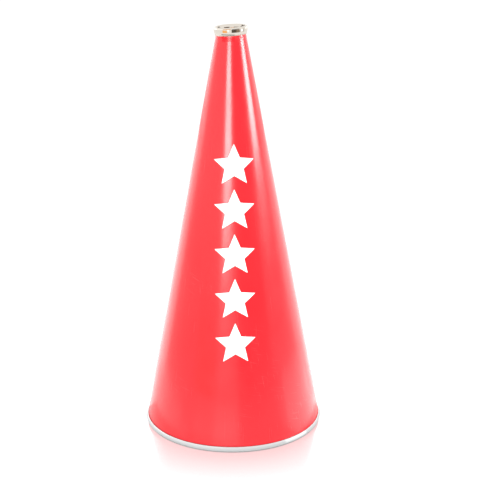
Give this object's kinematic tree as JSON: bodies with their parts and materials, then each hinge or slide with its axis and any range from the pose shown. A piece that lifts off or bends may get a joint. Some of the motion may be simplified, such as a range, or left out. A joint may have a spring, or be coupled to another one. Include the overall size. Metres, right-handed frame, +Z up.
{
  "type": "cheer megaphone",
  "caption": "Hand-held conical cheer megaphone: rolled plastic cone with a chromed mouthpiece, a metal bell rim, a riveted back seam and a column of plain stars.",
  "frame": {"origin": "centre of the bell on the surface that the megaphone stands on", "axes": "+Z up the cone's axis to the mouthpiece, -Y towards the front with the stars, +Y towards the back seam"},
  "size_m": [0.233, 0.233, 0.521],
  "materials": {
    "red_plastic": "semi-gloss rolled polyethylene sheet, even bright red all through",
    "satin_aluminium": "satin, finely brushed round the rim",
    "chrome_plate": "bright chrome plate with light handling marks",
    "rivet_metal": "bright drawn aluminium",
    "white_vinyl": "satin adhesive vinyl film"
  },
  "bodies": {
    "root": {"cone_sheet": "red_plastic", "bell_rim": "satin_aluminium", "mouthpiece_ring": "chrome_plate", "mouthpiece_collar": "chrome_plate", "seam_rivets": "rivet_metal", "seam_rivet_washers": "rivet_metal", "star_decal_1": "white_vinyl", "star_decal_2": "white_vinyl", "star_decal_3": "white_vinyl", "star_decal_4": "white_vinyl", "star_decal_5": "white_vinyl"}
  },
  "joints": []
}
